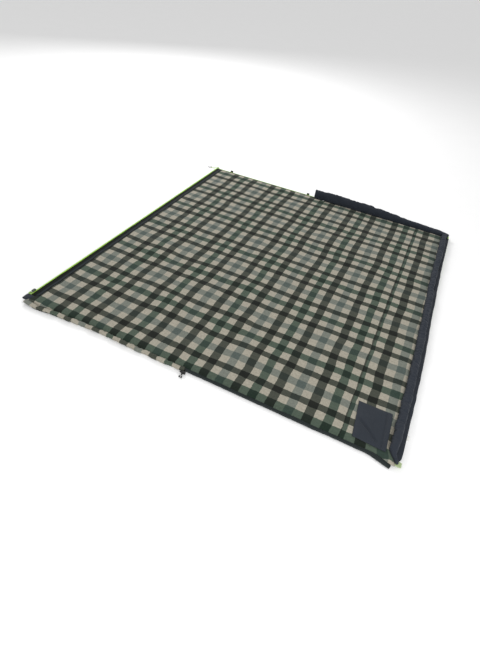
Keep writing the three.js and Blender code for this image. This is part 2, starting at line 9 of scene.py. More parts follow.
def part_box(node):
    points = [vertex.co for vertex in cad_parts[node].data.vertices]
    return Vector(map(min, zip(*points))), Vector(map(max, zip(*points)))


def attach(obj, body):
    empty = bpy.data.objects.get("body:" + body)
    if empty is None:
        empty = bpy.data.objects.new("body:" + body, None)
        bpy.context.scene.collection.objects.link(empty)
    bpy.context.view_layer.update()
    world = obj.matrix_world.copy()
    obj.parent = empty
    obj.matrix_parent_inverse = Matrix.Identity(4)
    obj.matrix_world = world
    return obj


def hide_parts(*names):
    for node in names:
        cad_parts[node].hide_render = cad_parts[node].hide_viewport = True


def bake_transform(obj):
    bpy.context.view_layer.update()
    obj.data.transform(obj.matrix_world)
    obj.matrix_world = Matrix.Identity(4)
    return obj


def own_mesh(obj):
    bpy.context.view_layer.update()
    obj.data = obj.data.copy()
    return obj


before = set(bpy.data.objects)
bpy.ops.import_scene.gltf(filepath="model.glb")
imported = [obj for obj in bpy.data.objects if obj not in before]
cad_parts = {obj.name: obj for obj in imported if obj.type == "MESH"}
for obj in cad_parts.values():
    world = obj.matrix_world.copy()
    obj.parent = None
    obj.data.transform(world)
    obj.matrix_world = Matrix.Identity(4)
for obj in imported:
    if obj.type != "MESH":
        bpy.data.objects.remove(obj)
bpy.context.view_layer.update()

# Looks of a rectangular sleeping bag, unzipped and laid open with its plaid lining up.
# Lengths are metres. Pieces are drawn in the bag's own frame, which has the fold line at X 0
# and the middle of the bag at Y 0, and are moved to the row frame when they are made.
MM = 0.001

FOLD_X = (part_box("base_shell")[0].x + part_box("cover_shell")[1].x) / 2
HALF_LENGTH = 1175 * MM  # from the middle of the bag to the foot zip's outer edge
ORIGIN = np.array([FOLD_X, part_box("zip_coil_foot_cover")[1].y - HALF_LENGTH, 0.0])


def here(node):
    """The box of a CAD node in the bag's own frame: (x0, x1), (y0, y1), (z0, z1)."""
    low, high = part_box(node)
    return [(low[i] - ORIGIN[i], high[i] - ORIGIN[i]) for i in range(3)]


# ------------------------------------------------------------------ camera
AZIMUTH, ELEVATION, ROLL = math.radians(21.99), math.radians(41.19), math.radians(7.27)
STAND = Vector((0.7224, -2.5130, 1.6608))  # the camera in the bag's frame
FOCAL_MM, SENSOR_MM, SIDE_SHIFT = 24.64, 36, 0.023
forward = Vector((-math.sin(AZIMUTH) * math.cos(ELEVATION),
                  math.cos(AZIMUTH) * math.cos(ELEVATION), -math.sin(ELEVATION)))
level = Vector((math.cos(AZIMUTH), math.sin(AZIMUTH), 0))
upward = level.cross(forward)
turn = Matrix((level, upward, -forward)).transposed().to_4x4()
camera_data = bpy.data.cameras.new("camera")
camera = bpy.data.objects.new("camera", camera_data)
camera.matrix_world = (Matrix.Translation(STAND + Vector(ORIGIN)) @ turn
                       @ Matrix.Rotation(ROLL, 4, "Z"))
camera_data.lens = FOCAL_MM
camera_data.sensor_width = SENSOR_MM
camera_data.shift_x = SIDE_SHIFT
camera_data.clip_start, camera_data.clip_end = 0.05, 200
bpy.context.scene.collection.objects.link(camera)
bpy.context.scene.camera = camera


# ------------------------------------------------------------------ node materials
class Material:
    """A node material that grows by add(); a socket given as an input is linked."""

    def __init__(self, name):
        self.material = bpy.data.materials.new(name)
        self.material.use_nodes = True
        self.nodes = self.material.node_tree.nodes
        self.links = self.material.node_tree.links
        self.shader = self.nodes["Principled BSDF"]

    def put(self, node, inputs):
        for key, value in inputs.items():
            if isinstance(value, bpy.types.NodeSocket):
                self.links.new(value, node.inputs[key])
            else:
                node.inputs[key].default_value = value
        return node

    def add(self, kind, inputs=None, out=0, **settings):
        node = self.nodes.new("ShaderNode" + kind)
        for key, value in settings.items():
            setattr(node, key, value)
        return self.put(node, inputs or {}).outputs[out]

    def finish(self, **inputs):
        self.put(self.shader, {key.replace("_", " "): value for key, value in inputs.items()})
        return self.material

    def math(self, operation, a, b=0.0):
        return self.add("Math", {0: a, 1: b}, operation=operation)

    def noise(self, where, scale, detail=2.0, roughness=0.5):
        return self.add("TexNoise", {"Vector": where, "Scale": scale, "Detail": detail,
                                     "Roughness": roughness})

    def mix(self, share, a, b, blend="MIX"):
        node = self.nodes.new("ShaderNodeMix")
        node.data_type, node.blend_type = "RGBA", blend
        self.put(node, {0: share, 6: a, 7: b})
        return node.outputs[2]

    def ranged(self, value, low, high):
        return self.add("MapRange", {"Value": value, "To Min": low, "To Max": high})

    def ramp(self, value, stops, interpolation="LINEAR"):
        node = self.nodes.new("ShaderNodeValToRGB")
        node.color_ramp.interpolation = interpolation
        elements = node.color_ramp.elements
        while len(elements) < len(stops):
            elements.new(1.0)
        for element, (position, colour) in zip(elements, stops):
            element.position = position
            element.color = colour
        self.put(node, {0: value})
        return node.outputs[0]

    def bump(self, height, distance, strength=1.0, normal=None):
        inputs = {"Height": height, "Distance": distance, "Strength": strength}
        if normal is not None:
            inputs["Normal"] = normal
        return self.add("Bump", inputs)


def shade(red, green, blue):
    """A colour from 0 to 255 display values, as linear RGBA."""
    def linear(value):
        value /= 255
        return value / 12.92 if value <= 0.04045 else ((value + 0.055) / 1.055) ** 2.4
    return (linear(red), linear(green), linear(blue), 1.0)


def scaled(colour, factor, lift=0.0):
    """A darker or paler colour than the given linear one."""
    return tuple(min(1, c * factor + lift) for c in colour[:3]) + (1,)


# The plaid: yarn colours, and how wide each stripe of a repeat is, across and along the bag.
YARN = {"D": shade(17, 23, 18), "C": shade(163, 158, 145), "b": shade(84, 94, 90),
        "G": shade(27, 45, 36)}
ACROSS = dict(order="DCGCDCbC", dark=46 * MM, repeat=360.6 * MM, start=-833.3 * MM)
ALONG = dict(order="DCbCDCGC", dark=40 * MM, repeat=370.1 * MM, start=-1073.5 * MM)


def stripes(m, position, sett):
    """The yarn colour at a position in metres, from a repeating order of stripes."""
    plain = (sett["repeat"] / 2 - sett["dark"]) / 3
    edge, stops = 0.0, []
    for yarn in sett["order"]:
        stops.append((edge / sett["repeat"], YARN[yarn]))
        edge += sett["dark"] if yarn == "D" else plain
    shifted = m.math("SUBTRACT", position, sett["start"])
    part = m.math("FRACT", m.math("DIVIDE", shifted, sett["repeat"]))
    return m.ramp(part, stops, "CONSTANT")


THREAD = 0.9 * MM  # pitch of the lining's threads
TWILL = 2 * math.pi / THREAD


def plaid_material():
    m = Material("plaid_flannel")
    cloth = m.add("Attribute", out=1, attribute_name="cloth")
    fuzz = m.noise(cloth, 900, 3)
    lint = m.noise(cloth, 260, 2)
    loose = cloth  # yarn edges wander by a thread or two, and with the pull of the batting
    for scale, reach in ((420.0, 0.0026), (70.0, 0.0055)):
        loose = m.add("VectorMath", {0: loose, 1: m.add("VectorMath", {
            0: m.add("TexNoise", {"Vector": cloth, "Scale": scale}, out=1), "Scale": reach,
        }, operation="SCALE")}, operation="ADD")
    parts = m.nodes.new("ShaderNodeSeparateXYZ")
    m.put(parts, {0: loose})
    warp = stripes(m, parts.outputs[0], ACROSS)
    weft = stripes(m, parts.outputs[1], ALONG)
    # A 2/2 twill shows warp and weft in turn on slanting lines, softened by the brushed nap.
    slant = m.math("ADD", parts.outputs[0], parts.outputs[1])
    ridge = m.math("SINE", m.math("MULTIPLY", slant, TWILL))
    share = m.ranged(m.math("ADD", ridge, m.math("MULTIPLY", fuzz, 1.4)), 0.34, 0.66)
    blended = m.add("Gamma", {0: m.mix(1.0, warp, weft, "MULTIPLY"), 1: 0.55})
    woven = m.mix(0.1, blended, m.mix(share, warp, weft))
    faded = m.mix(m.ranged(m.noise(cloth, 6, 3), 0.0, 0.05), woven, shade(140, 138, 128))
    heather = m.math("MULTIPLY", m.ranged(lint, 0.78, 1.16), m.ranged(fuzz, 0.8, 1.16))
    heather = m.math("MULTIPLY", heather, m.ranged(m.noise(cloth, 95, 3, 0.6), 0.62, 1.34))
    colour = m.mix(1.0, faded, m.add("CombineColor", {0: heather, 1: heather, 2: heather}),
                   "MULTIPLY")
    fine = m.bump(m.math("ADD", fuzz, m.math("MULTIPLY", ridge, 0.2)), 0.4 * MM, 0.5)
    soft = m.bump(m.noise(cloth, 34, 3), 2.2 * MM, 0.55, fine)
    m.finish(Base_Color=colour, Roughness=m.ranged(lint, 0.86, 1.0), Normal=soft,
             Sheen_Weight=0.03, Sheen_Roughness=0.6, Specular_IOR_Level=0.1)
    return m.material


def woven_material(name, colour, pitch, crease=1.0, gloss=0.62, worn=0.12, bands=None,
                   sheen=0.04):
    """Plain-woven fabric: crossed threads, slight colour drift, fine creases and a dull gloss.
    bands is (low, high, [(share, colour)]): stripes along the cloth's X from low to high."""
    m = Material(name)
    where = m.add("Attribute", out=1, attribute_name="cloth")
    parts = m.nodes.new("ShaderNodeSeparateXYZ")
    m.put(parts, {0: where})
    rate = 2 * math.pi / pitch
    threads = [m.math("SINE", m.math("MULTIPLY", parts.outputs[i], rate)) for i in range(2)]
    grid = m.math("MULTIPLY", threads[0], threads[1])
    drift = m.noise(where, 9, 4, 0.6)
    dust = m.noise(where, 480, 2)
    dark = m.mix(m.ranged(drift, 0.0, 0.5), colour, scaled(colour, 0.72))
    pale = m.mix(m.math("MULTIPLY", m.ranged(grid, 0.0, 1.0), worn), dark,
                 scaled(colour, 2.1, 0.02))
    tone = m.mix(m.ranged(dust, 0.0, 0.22), pale, scaled(colour, 0.6))
    if bands:
        low, high, stops = bands
        across = m.add("MapRange", {"Value": parts.outputs[0], "From Min": low, "From Max": high})
        tone = m.mix(1.0, tone, m.ramp(across, stops, "CONSTANT"), "MULTIPLY")
    weave = m.bump(grid, 0.12 * MM, 0.5)
    crinkle = m.noise(m.add("VectorMath", {0: where, 1: (1.0, 0.45, 1.0)}, operation="MULTIPLY"),
                      58, 3, 0.55)
    m.finish(Base_Color=tone, Roughness=m.ranged(drift, gloss - 0.06, gloss + 0.12),
             Normal=m.bump(crinkle, 1.6 * MM * crease, 0.6, weave),
             Sheen_Weight=sheen, Sheen_Roughness=0.45, Specular_IOR_Level=0.12)
    return m.material


def ribbed_material(name, colour, pitch, along, source="object", gloss=0.6, edge=None):
    """Webbing, tape or coil: ribs across its run, with a little wear on the ribs."""
    m = Material(name)
    where = (m.add("Attribute", out=1, attribute_name="cloth") if source == "cloth"
             else m.add("TexCoord", out=3))
    parts = m.nodes.new("ShaderNodeSeparateXYZ")
    m.put(parts, {0: where})
    rib = m.math("SINE", m.math("MULTIPLY", parts.outputs[along], 2 * math.pi / pitch))
    drift = m.noise(where, 40, 3)
    dust = m.noise(where, 700, 2)
    low = scaled(colour, 0.62)
    tone = m.mix(m.ranged(rib, 0.0, 1.0), low, colour)
    tone = m.mix(m.ranged(drift, 0.0, 0.3), tone, low)
    tone = m.mix(m.ranged(dust, 0.0, 0.12), tone, edge or shade(150, 150, 140))
    m.finish(Base_Color=tone, Roughness=m.ranged(drift, gloss - 0.08, gloss + 0.12),
             Normal=m.bump(rib, 0.3 * MM, 0.6), Specular_IOR_Level=0.15)
    return m.material


def hard_material(name, colour, metallic, gloss, worn=None):
    """Paint, plastic, rubber or metal: fine grain, smudged gloss, and wear on the edges."""
    m = Material(name)
    where = m.add("TexCoord", out=3)
    smudge = m.noise(where, 120, 4, 0.6)
    fine = m.noise(where, 2080, 2)
    edges = m.ramp(m.add("NewGeometry", out=7), [(0.5, (0, 0, 0, 1)), (0.62, (1, 1, 1, 1))])
    tone = m.mix(m.ranged(smudge, 0.0, 0.35), colour, scaled(colour, 0.7))
    rub = m.math("MULTIPLY", edges, m.ranged(smudge, 0.1, 0.7))
    tone = m.mix(rub, tone, worn or scaled(colour, 1.6, 0.05))
    m.finish(Base_Color=tone, Metallic=metallic,
             Roughness=m.ranged(smudge, gloss - 0.07, gloss + 0.13),
             Normal=m.bump(fine, 0.05 * MM, 0.35))
    return m.material


NAVY = shade(45, 50, 57)
PLAID = plaid_material()
SHELL = woven_material("navy_shell", NAVY, 1.1 * MM)
TUBE = woven_material("navy_tube", shade(44, 49, 57), 1.1 * MM, crease=2.2)
BINDING = woven_material("charcoal_binding", shade(40, 46, 46), 1.1 * MM, crease=0.8)
# The facing's outer band is darkened: partly the sewn-over zip tape, partly painted shadow along
# the zip's edge.
TAPE_AND_PAINTED_SHADOW, PLAIN, STITCHED = (0.12, 0.16, 0.1, 1), (1, 1, 1, 1), (0.25, 0.25, 0.25, 1)
FACING_BANDS = (-1021 * MM, -982 * MM, [(0.0, TAPE_AND_PAINTED_SHADOW), (0.38, PLAIN), (0.88, STITCHED)])
FACING = woven_material("navy_facing", shade(37, 43, 46), 1.1 * MM, bands=FACING_BANDS,
                        gloss=0.85, worn=0.04, sheen=0.0)
TAPE = ribbed_material("zip_tape", shade(12, 19, 9), 2.2 * MM, 0, "cloth", 0.85,
                       edge=shade(40, 52, 30))
LIME = ribbed_material("lime_coil", shade(178, 232, 74), 2.6 * MM, 1, "cloth", 0.4)
LIME_STRAP = ribbed_material("lime_strap", shade(172, 222, 84), 1.6 * MM, 0, "object", 0.7)
WEBBING = ribbed_material("dark_webbing", shade(36, 42, 40), 1.8 * MM, 0, "cloth", 0.8)
LABEL = woven_material("satin_label", shade(236, 236, 230), 0.5 * MM, crease=0.4, gloss=0.4)
CORD = ribbed_material("braided_cord", shade(12, 13, 14), 2.4 * MM, 1, "object", 0.7)
# Lime paint darkened and dulled beyond the coil's lime: painted shade on the sliders and the
# retainer.
SHADED_LIME_PAINT = hard_material("lime_paint_with_painted_shade", shade(138, 182, 62), 0.0, 0.35,
                           worn=shade(150, 152, 142))
GREEN = hard_material("green_rubber", shade(20, 40, 16), 0.0, 0.6)
BLACK = hard_material("black_plastic", shade(4, 5, 5), 0.0, 0.6, worn=shade(16, 17, 18))
STEEL = hard_material("steel", shade(96, 97, 99), 1.0, 0.34)
WIRE = hard_material("ring_wire", shade(30, 31, 33), 0.0, 0.5, worn=shade(56, 57, 59))
PALE_LIME = hard_material("pale_lime", shade(150, 176, 104), 0.0, 0.45,
                          worn=shade(170, 176, 158))

# ------------------------------------------------------------------ cords
CORD_RADIUS = 1.5 * MM
exit_point = np.array([-3, -1175, 9]) * MM


def cord_tail(name, rise, aside):
    """A free end of the drawcord, from inside its eyelet, through the lock, to its moulded end."""
    x, y, z = exit_point
    tip = np.array([x + aside * 5 * MM, y - 36 * MM, 5 * MM])
    run = y - 26 * MM
    z += rise * 1.8 * MM
    straight = [(x, y + 1.5 * MM + (run - y - 1.5 * MM) * i / 8, z) for i in range(9)]
    bend = [((x + (tip[0] - x) * s), run + (tip[1] - run) * t, z + (tip[2] - z) * s)
            for t, s in ((i / 8, (i / 8) ** 2 * (3 - 2 * i / 8)) for i in range(1, 9))]
    points = np.array(straight + bend) + ORIGIN
    curve = bpy.data.curves.new(name, "CURVE")
    curve.dimensions = "3D"
    curve.bevel_depth = CORD_RADIUS
    curve.bevel_resolution = 3
    curve.use_fill_caps = True
    line = curve.splines.new("POLY")
    line.points.add(len(points) - 1)
    for point, place in zip(line.points, points):
        point.co = (*place, 1)
    tail = bpy.data.objects.new(name, curve)
    bpy.context.scene.collection.objects.link(tail)
    curve.materials.append(CORD)
    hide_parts(name)
    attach(tail, "base_half")


for tail_name, rise, aside in (("upper", 1, -1), ("lower", -1, 1)):
    cord_tail(f"drawcord_tail_{tail_name}", rise, aside)


# ------------------------------------------------------------------ noise and meshes
def noise(x, y, cell_x, cell_y, seed):
    """Smooth noise from -1 to 1 on the plane, with features of about one cell."""
    table = np.random.default_rng(seed).uniform(-1, 1, (97, 97))
    a, b = np.broadcast_arrays(x / cell_x, y / cell_y)
    i, j = np.floor(a).astype(int), np.floor(b).astype(int)
    s, t = a - i, b - j
    s, t = s * s * (3 - 2 * s), t * t * (3 - 2 * t)
    pick = lambda di, dj: table[(i + di) % 97, (j + dj) % 97]
    return ((pick(0, 0) * (1 - s) + pick(1, 0) * s) * (1 - t)
            + (pick(0, 1) * (1 - s) + pick(1, 1) * s) * t)


def smooth(value, low, high):
    t = np.clip((value - low) / (high - low), 0, 1)
    return t * t * (3 - 2 * t)


def make(name, points, faces, cloth, material):
    """A closed smooth mesh in the row frame, with its place on the flat cloth as an attribute."""
    mesh = bpy.data.meshes.new(name)
    mesh.from_pydata((points + ORIGIN).tolist(), [], [list(map(int, f)) for f in faces])
    attribute = mesh.attributes.new("cloth", "FLOAT_VECTOR", "POINT")
    attribute.data.foreach_set("vector", np.ascontiguousarray(cloth, np.float32).ravel())
    built = bmesh.new()
    built.from_mesh(mesh)
    bmesh.ops.recalc_face_normals(built, faces=built.faces)
    for face in built.faces:
        face.smooth = True
    built.to_mesh(mesh)
    built.free()
    mesh.materials.append(material)
    made = bpy.data.objects.new(name, mesh)
    bpy.context.scene.collection.objects.link(made)
    return made


def loft(name, run, a, b, axis, material, shift=(0, 0)):
    """A closed body: ring i has the points (a[i], b[i]) across and lies at run[i] along axis."""
    rings, sides = a.shape
    along = np.broadcast_to(run[:, None], a.shape)
    if axis == "y":
        points = np.stack([a, along, b], -1)
    else:
        points = np.stack([along, a, b], -1)
    around = np.concatenate([np.zeros((rings, 1)), np.cumsum(np.hypot(
        np.diff(a, axis=1), np.diff(b, axis=1)), axis=1)], 1)
    if axis == "y":
        cloth = np.stack([around + shift[0], along + shift[1], 0 * a], -1)
    else:
        cloth = np.stack([along + shift[0], around + shift[1], 0 * a], -1)
    index = np.arange(rings * sides).reshape(rings, sides)
    after = np.roll(index, -1, 1)
    quads = np.stack([index[:-1], after[:-1], after[1:], index[1:]], -1).reshape(-1, 4)
    faces = quads.tolist() + [index[0].tolist(), index[-1][::-1].tolist()]
    return make(name, points.reshape(-1, 3), faces, cloth.reshape(-1, 3), material)


def spline(points, count):
    """A closed smooth outline of count points through the given ones."""
    p = np.array(points, float)
    n = len(p)
    t = np.arange(count) * n / count
    i = t.astype(int)
    f = (t - i)[:, None]
    p0, p1, p2, p3 = (p[(i + k) % n] for k in (-1, 0, 1, 2))
    return 0.5 * (2 * p1 + (p2 - p0) * f + (2 * p0 - 5 * p1 + 4 * p2 - p3) * f ** 2
                  + (3 * p1 - p0 - 3 * p2 + p3) * f ** 3)


def slab(name, x, y, top, bottom, cloth_x, cloth_y, material):
    """A closed slab over the grid x by y, from two height arrays; x and y are 2-D arrays."""
    rows, columns = x.shape
    count = rows * columns
    upper = np.stack([x, y, top], -1).reshape(-1, 3)
    lower = np.stack([x, y, bottom], -1).reshape(-1, 3)
    index = np.arange(count).reshape(rows, columns)
    quads = np.stack([index[:-1, :-1], index[:-1, 1:], index[1:, 1:], index[1:, :-1]], -1)
    quads = quads.reshape(-1, 4)
    rim = np.concatenate([index[0], index[1:, -1], index[-1, -2::-1], index[-2:0:-1, 0]])
    after = np.roll(rim, -1)
    walls = np.stack([rim, after, after + count, rim + count], -1)
    faces = np.concatenate([quads, quads[:, ::-1] + count, walls])
    cloth = np.stack([cloth_x, cloth_y, 0 * cloth_x], -1).reshape(-1, 3)
    return make(name, np.concatenate([upper, lower]), faces, np.concatenate([cloth, cloth]),
                material)


def settle(piece, body, replaced):
    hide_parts(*replaced)
    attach(piece, body)


# ------------------------------------------------------------------ the padded quilt
SIDE = here("base_shell")[0][1]  # outer seam of the padding
FOOT = here("base_shell")[1][1]
HEAD = here("cover_shell")[1][0]
BASE_HEAD = here("base_shell")[1][0]
SEAM_Z = here("base_shell")[2][1]
LOFT = here("base_lining")[2][1]
PANEL_X = here("base_lining")[0][1] + 0.3 * MM
LINING_LOW = SEAM_Z + 1.35 * MM  # the lining's lower side, just above the zip tapes
FOOT_BULGE = 15 * MM  # how far the cover's foot edge bulges over its zip tape


def foot_edge(x):
    return FOOT + FOOT_BULGE * (1 - smooth(x, -100 * MM, -78 * MM)) + 3.0 * MM * noise(
        x, 0, 110 * MM, 1, 5)


OVERHANG = 11 * MM  # how far the lining lies over the drawcord channel
# How far the cover's rolled head edge bows out, at each X; and how much of the roll shows.
ROLL_BOW = np.array([[-1022, 30], [-935, 36], [-836, 26], [-731, 18], [-630, 11], [-530, 6],
                     [-420, 8], [-320, 11], [-200, 10], [-100, 10], [-14, 6]]) * MM
ROLL_SHOWS = np.array([[-1022, 28], [-900, 26], [-700, 23], [-500, 20], [-200, 20],
                       [-14, 20]]) * MM


def head_edge(x):
    """Y of the lining's head seam, which lies on the cover's roll and on the base's channel."""
    on_roll = -HALF_LENGTH - np.interp(x, *ROLL_BOW.T) + np.interp(x, *ROLL_SHOWS.T)
    seam = on_roll + (BASE_HEAD - OVERHANG - on_roll) * smooth(x, -14 * MM, 6 * MM)
    return (seam - 24 * MM * smooth(x, 935 * MM, SIDE)
            + 1.5 * MM * noise(x, 0, 70 * MM, 1, 41) + MM * noise(x, 0, 26 * MM, 1, 43))


def crowned(distance, width):
    s = np.clip(distance / width, 0, 1)
    return np.sqrt(1 - (1 - s) ** 2)


def pucker(run, depth, distance, seed):
    """Short folds that run in from a sewn edge and fade away from it."""
    folds = noise(run, depth, 24 * MM, 240 * MM, seed) + 0.6 * noise(
        run, depth, 11 * MM, 160 * MM, seed + 1)
    return folds * np.exp(-np.abs(depth) / distance)


def sloped(distance, width):
    """A gentle rise from a sewn edge, with its steepest part at the edge."""
    return np.sin(np.clip(distance / width, 0, 1) * math.pi / 2) ** 0.9


def lining_top(x, y):
    """Height of the lining's upper side."""
    left, right = x + SIDE, SIDE - x
    head, foot = y - head_edge(x), foot_edge(x) - y
    swell = (sloped(left, 58 * MM) * crowned(right, 40 * MM) * crowned(head, 30 * MM)
             * sloped(foot, 52 * MM))
    rolling = (2.4 * noise(x, y, 210 * MM, 190 * MM, 11) + 2.8 * noise(x, y, 240 * MM, 74 * MM, 14)
               + 2.0 * noise(x, y, 84 * MM, 66 * MM, 12)
               + 0.9 * noise(x, y, 37 * MM, 31 * MM, 13)) * MM
    folds = (1.5 * pucker(y, left, 60 * MM, 21) + 1.8 * pucker(y, right - 30 * MM, 55 * MM, 23)
             + 1.5 * pucker(x, head, 45 * MM, 25) + 1.4 * pucker(x, foot, 45 * MM, 27)) * MM
    gully = 2.0 * MM * np.exp(-((x - PANEL_X) / (6 * MM)) ** 2)
    base = SEAM_Z + 1.6 * MM
    return base + swell * (LOFT - base + rolling + folds) - gully * swell


def wander(x, y):
    """The cloth coordinates: the plaid's lines wave gently over the padding."""
    sag = 9 * MM * np.clip(1 - (y / 1.05) ** 2, 0, 1)
    u = x + (4.5 * noise(x, y, 330 * MM, 210 * MM, 31) + 3.0 * noise(x, y, 110 * MM, 85 * MM, 32)
             + 1.6 * noise(x, y, 45 * MM, 40 * MM, 35)) * MM
    v = y - sag + (5.0 * noise(x, y, 260 * MM, 300 * MM, 33)
                   + 3.6 * noise(x, y, 90 * MM, 100 * MM, 34)
                   + 1.6 * noise(x, y, 42 * MM, 45 * MM, 36)) * MM
    return u, v


def spaced(marks, steps):
    """Grid lines from mark to mark, each stretch divided into steps."""
    parts = [np.linspace(a, b, n, endpoint=False)
             for a, b, n in zip(marks[:-1], marks[1:], steps)]
    return np.concatenate(parts + [[marks[-1]]])


lines_x = spaced([-SIDE + 4 * MM, -SIDE + 0.06, -0.05, 0.05, PANEL_X - 0.02, PANEL_X],
                 [12, 76, 20, 58, 5])
lines_v = spaced([0, 0.03, 0.97, 1], [14, 186, 14])  # shares of the way from head to foot
grid_x, share = np.meshgrid(lines_x, lines_v)
head_line = head_edge(grid_x)
grid_y = head_line + share * (foot_edge(grid_x) - head_line)
grid_x = grid_x + 1.2 * MM * noise(grid_y, 0, 80 * MM, 1, 42) * (1 - smooth(grid_x, -SIDE, -0.9))
cloth_u, cloth_v = wander(grid_x, grid_y)
sunk = 1.2 * MM * (1 - smooth(grid_x, -992 * MM, -985 * MM))  # room for the zip's facing on it
lining = slab("quilt_lining", grid_x, grid_y, lining_top(grid_x, grid_y) - sunk,
              np.full_like(grid_x, LINING_LOW), cloth_u, cloth_v, PLAID)
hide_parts("base_lining", "cover_lining", "base_insulation", "cover_insulation")

panel_x, share = np.meshgrid(spaced([PANEL_X, PANEL_X + 0.02, SIDE], [5, 24]), lines_v)
head_line = head_edge(panel_x)
panel_y = head_line + share * (foot_edge(panel_x) - head_line)
PANEL_PHASE = -1510.6 * MM  # the side panel's stripes don't meet the main panel's
cloth_u, cloth_v = wander(panel_x, panel_y)
# Near the head the panel's corner is drawn out sideways, to the end of the side tube.
drawn = (26 * MM * (panel_x - PANEL_X) / (SIDE - PANEL_X)
         * (1 - smooth(panel_y, -1180 * MM, -1090 * MM)))
panel = slab("quilt_side_panel", panel_x + drawn, panel_y, lining_top(panel_x, panel_y),
             np.full_like(panel_x, LINING_LOW), cloth_u + PANEL_PHASE, cloth_v, PLAID)
settle(panel, "base_half", ["base_lining_side_panel"])

CHANNEL_PITCH = 190 * MM  # between the sewn lines of the shell


def shell_edge(x):
    """Y of the shell's head seam, next to the roll and the channel."""
    return HEAD + (BASE_HEAD - HEAD) * smooth(x, -14 * MM, 6 * MM)


def shell_bottom(x, y):
    """Height of the shell's underside, which rests on the floor between its sewn lines."""
    edge = np.minimum(np.minimum(x + SIDE, SIDE - x), np.minimum(y - shell_edge(x), FOOT - y))
    lift = (SEAM_Z - 0.5 * MM) * (1 - crowned(edge, 26 * MM))
    bow = 5 * MM * noise(x, y, 420 * MM, 900 * MM, 51)
    phase = (y - HEAD + bow) / CHANNEL_PITCH
    near = np.abs(phase - np.round(phase)) * CHANNEL_PITCH
    sewn = 4.5 * MM * np.exp(-(near / (9 * MM)) ** 2)
    creases = 0.8 * MM * (noise(x, y, 30 * MM, 50 * MM, 52) + 1) * np.exp(-near / (40 * MM))
    return np.minimum(lift + (sewn + creases) * crowned(edge, 26 * MM), SEAM_Z - 0.8 * MM)


lines_x = spaced([-SIDE, -SIDE + 0.04, -0.05, 0.05, SIDE - 0.04, SIDE], [10, 66, 20, 66, 10])
shell_x, share = np.meshgrid(lines_x, spaced([0, 0.018, 0.982, 1], [10, 210, 10]))
shell_y = shell_edge(shell_x) + share * (FOOT - shell_edge(shell_x))
shell = slab("quilt_shell", shell_x, shell_y, np.full_like(shell_x, SEAM_Z - 0.3 * MM),
             shell_bottom(shell_x, shell_y), shell_x, shell_y, SHELL)
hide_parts("base_shell", "cover_shell")

# ------------------------------------------------------------------ cloth simulation
FLOOR_GAP = 0.3 * MM  # no swollen cloth comes nearer to the floor than this
CLOTH_FRAMES = 16
AIR = 2.0  # pressure in a tube


def puff(piece, pinned, growth, limit):
    """Simulates a sewn tube: air swells it, and cloth that is longer than its seam puckers.
    pinned says which points are sewn down, growth is how much longer the cloth is, and limit
    is as far as a point may move."""
    mesh = piece.data
    rest = np.array([v.co for v in mesh.vertices])
    pins = piece.vertex_groups.new(name="sewn")
    pins.add(np.nonzero(pinned.ravel())[0].tolist(), 1.0, "REPLACE")
    cloth = piece.modifiers.new("cloth", "CLOTH")
    settings = cloth.settings
    settings.quality = 5
    settings.mass = 0.2
    settings.tension_stiffness = settings.compression_stiffness = 12
    settings.shear_stiffness = 4
    settings.bending_stiffness = 0.15
    settings.use_pressure = True
    settings.uniform_pressure_force = AIR
    settings.shrink_min = -growth
    settings.vertex_group_mass = "sewn"
    settings.effector_weights.gravity = 0
    cloth.collision_settings.use_collision = False
    cloth.point_cache.frame_start, cloth.point_cache.frame_end = 1, CLOTH_FRAMES
    for step in range(1, CLOTH_FRAMES + 1):
        bpy.context.scene.frame_set(step)
    evaluated = piece.evaluated_get(bpy.context.evaluated_depsgraph_get())
    moved = np.array([v.co for v in evaluated.data.vertices]) - rest
    far = np.linalg.norm(moved, axis=1, keepdims=True)
    moved *= np.minimum(1, limit / np.maximum(far, 1e-9))
    piece.modifiers.remove(cloth)
    piece.vertex_groups.remove(pins)
    points = rest + moved
    points[:, 2] = np.maximum(points[:, 2], FLOOR_GAP)
    mesh.vertices.foreach_set("co", points.astype(np.float32).ravel())
    mesh.update()
    bpy.context.scene.frame_set(1)


# ------------------------------------------------------------------ head edge
TURN = np.linspace(0, 2 * math.pi, 24, endpoint=False)[None, :]
FULL_TURN = 6.3  # the folds' noise runs this far round a tube


def rounded_ends(run, reach):
    """1 along the run, and down to almost 0 at both ends, on a round curve."""
    distance = np.minimum(run - run[0], run[-1] - run)
    return np.maximum(crowned(distance, reach), 0.06)[:, None]


roll_x0, roll_x1 = here("head_facing")[0]
ROLL_RINGS, ROLL_POINTS = 230, 44
# Rows of: distance from the roll's outer edge in mm, share of its whole width, height in mm.
# The roll shows at the outer edge, and a flat tail runs in under the lining.
ROLL_SECTION = spline([[0, 0, 12], [1.2, 0, 17.5], [6, 0, 21.8], [13, 0, 22.4], [19, 0, 19.6],
                       [24, 0, 14.6], [6, 0.5, 13.8], [0, 1, 13], [0, 1, 8], [6, 0.5, 5],
                       [19, 0, 3.2], [8, 0, 2.6], [2, 0, 6]], ROLL_POINTS)
ROLL_HEART = 12 * MM  # height of the roll's middle


